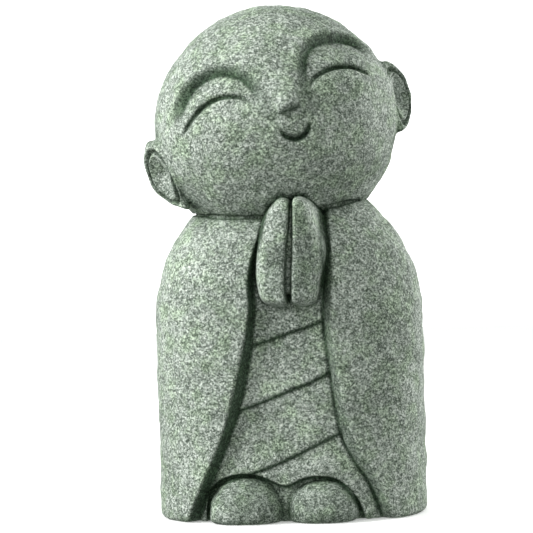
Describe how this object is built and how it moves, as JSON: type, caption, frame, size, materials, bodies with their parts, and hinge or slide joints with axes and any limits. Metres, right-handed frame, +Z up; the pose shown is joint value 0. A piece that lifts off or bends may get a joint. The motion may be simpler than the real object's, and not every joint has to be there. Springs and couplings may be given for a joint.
{
  "type": "stone jizo statue",
  "caption": "Round-headed child monk in a long open robe, carved from one block of stone, palms together, head tilted, eyes closed in a smile, bare toes under the hem.",
  "frame": {"origin": "centre of the robe's oval section, on the flat underside", "axes": "+Z up, from the underside to the crown; -Y the way the robe's open front faces; +X the figure's own left"},
  "size_m": [0.1607, 0.1316, 0.3001],
  "materials": {
    "granite": "speckled, finely tooled, matte"
  },
  "bodies": {
    "root": {"jizo_figure": "granite"}
  },
  "joints": []
}
